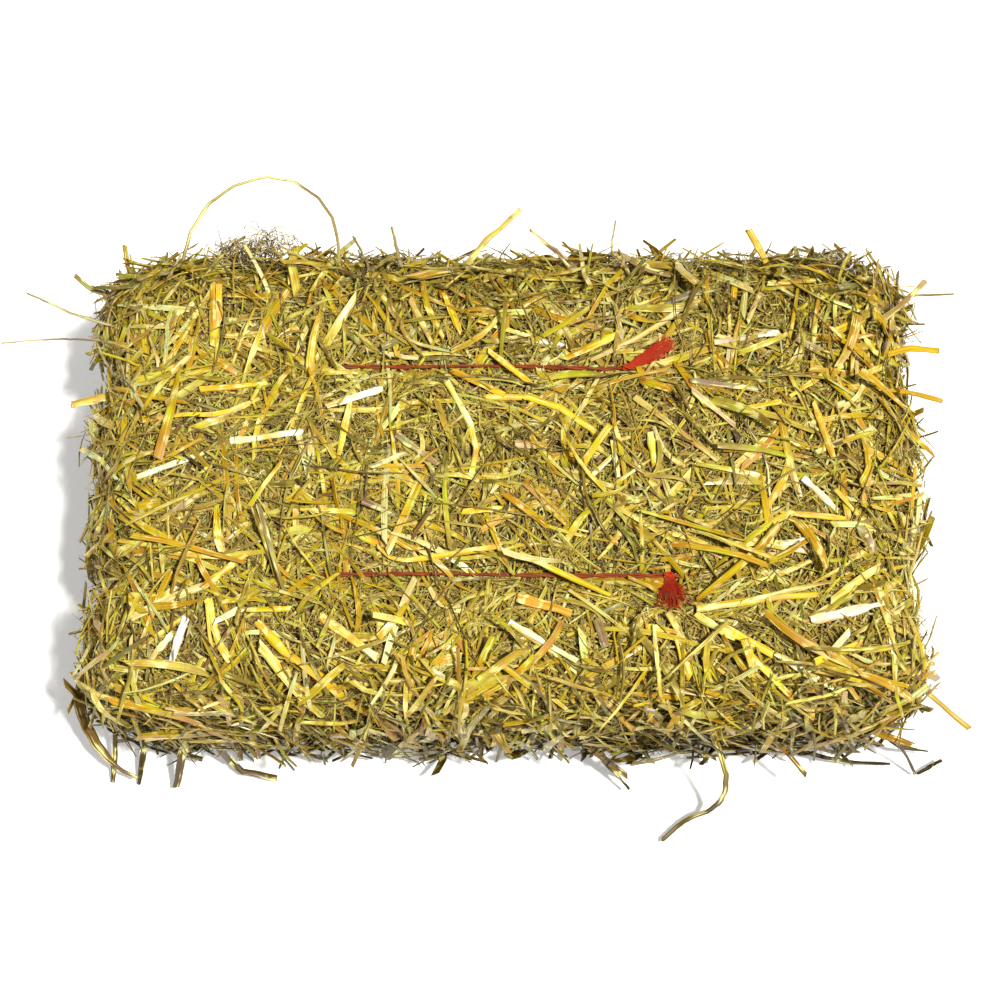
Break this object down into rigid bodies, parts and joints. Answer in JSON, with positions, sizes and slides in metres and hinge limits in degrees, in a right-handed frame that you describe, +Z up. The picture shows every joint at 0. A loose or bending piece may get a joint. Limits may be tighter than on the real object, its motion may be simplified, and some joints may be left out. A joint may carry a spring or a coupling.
{
  "type": "straw bale",
  "caption": "Small pressed straw bale lying on its broad face, tied lengthwise with red twine, loose stalks lying on it and sticking out of it.",
  "frame": {"origin": "the middle of the flat underside, on the surface that the bale lies on", "axes": "+X along the bale's length and along the twines, +Y towards the back, +Z up through its thickness"},
  "size_m": [0.6091, 0.3968, 0.1828],
  "materials": {
    "straw": "dull dry straw, satin where flattened",
    "golden_straw": "glossy golden straw",
    "cream_straw": "pale split straw, satin",
    "olive_straw": "greenish dry stem, satin",
    "brown_straw": "weathered brown stem, matt",
    "red_twine": "dull twisted fibre twine"
  },
  "bodies": {
    "root": {"straw_block": "straw", "twine_front": "red_twine", "twine_back": "red_twine", "angled_stalk": "golden_straw", "kinked_stalk": "golden_straw", "olive_stalk": "olive_straw", "long_stalk": "straw", "brown_stalk": "brown_straw", "upright_stalk": "golden_straw", "right_stalk": "straw", "white_stalk": "cream_straw", "level_stalk": "golden_straw", "pale_leaf": "cream_straw", "shoulder_stalk": "golden_straw", "slanted_stalk": "cream_straw", "orange_stalk": "golden_straw", "crossing_stalk": "golden_straw", "green_stalk": "olive_straw", "gold_ribbon": "golden_straw", "front_stalk": "cream_straw", "bent_corner_stalk": "golden_straw", "corner_stalk": "golden_straw", "back_left_stalk": "golden_straw", "left_stalk": "straw", "cream_stalk": "cream_straw", "back_stalk": "golden_straw", "low_left_stalk": "cream_straw", "arching_stalk": "olive_straw", "left_long_stalk": "brown_straw", "left_fork_stalk": "olive_straw", "left_stub": "straw", "left_green_stalk": "olive_straw", "corner_leaf": "straw", "back_broad_stalk": "olive_straw", "back_leaf": "brown_straw", "back_dark_stalk": "brown_straw", "back_nib": "olive_straw", "back_right_nib": "golden_straw", "right_raised_stalk": "straw", "right_long_stalk": "olive_straw", "right_gold_stalk": "golden_straw", "right_orange_stalk": "golden_straw", "right_leaf": "cream_straw", "front_right_stalk": "golden_straw", "trailing_stalk": "straw", "corner_ribbon": "golden_straw", "foot_stalk": "straw", "floor_stalk": "straw", "front_leaf": "brown_straw", "right_foot_leaf": "olive_straw"}
  },
  "joints": []
}
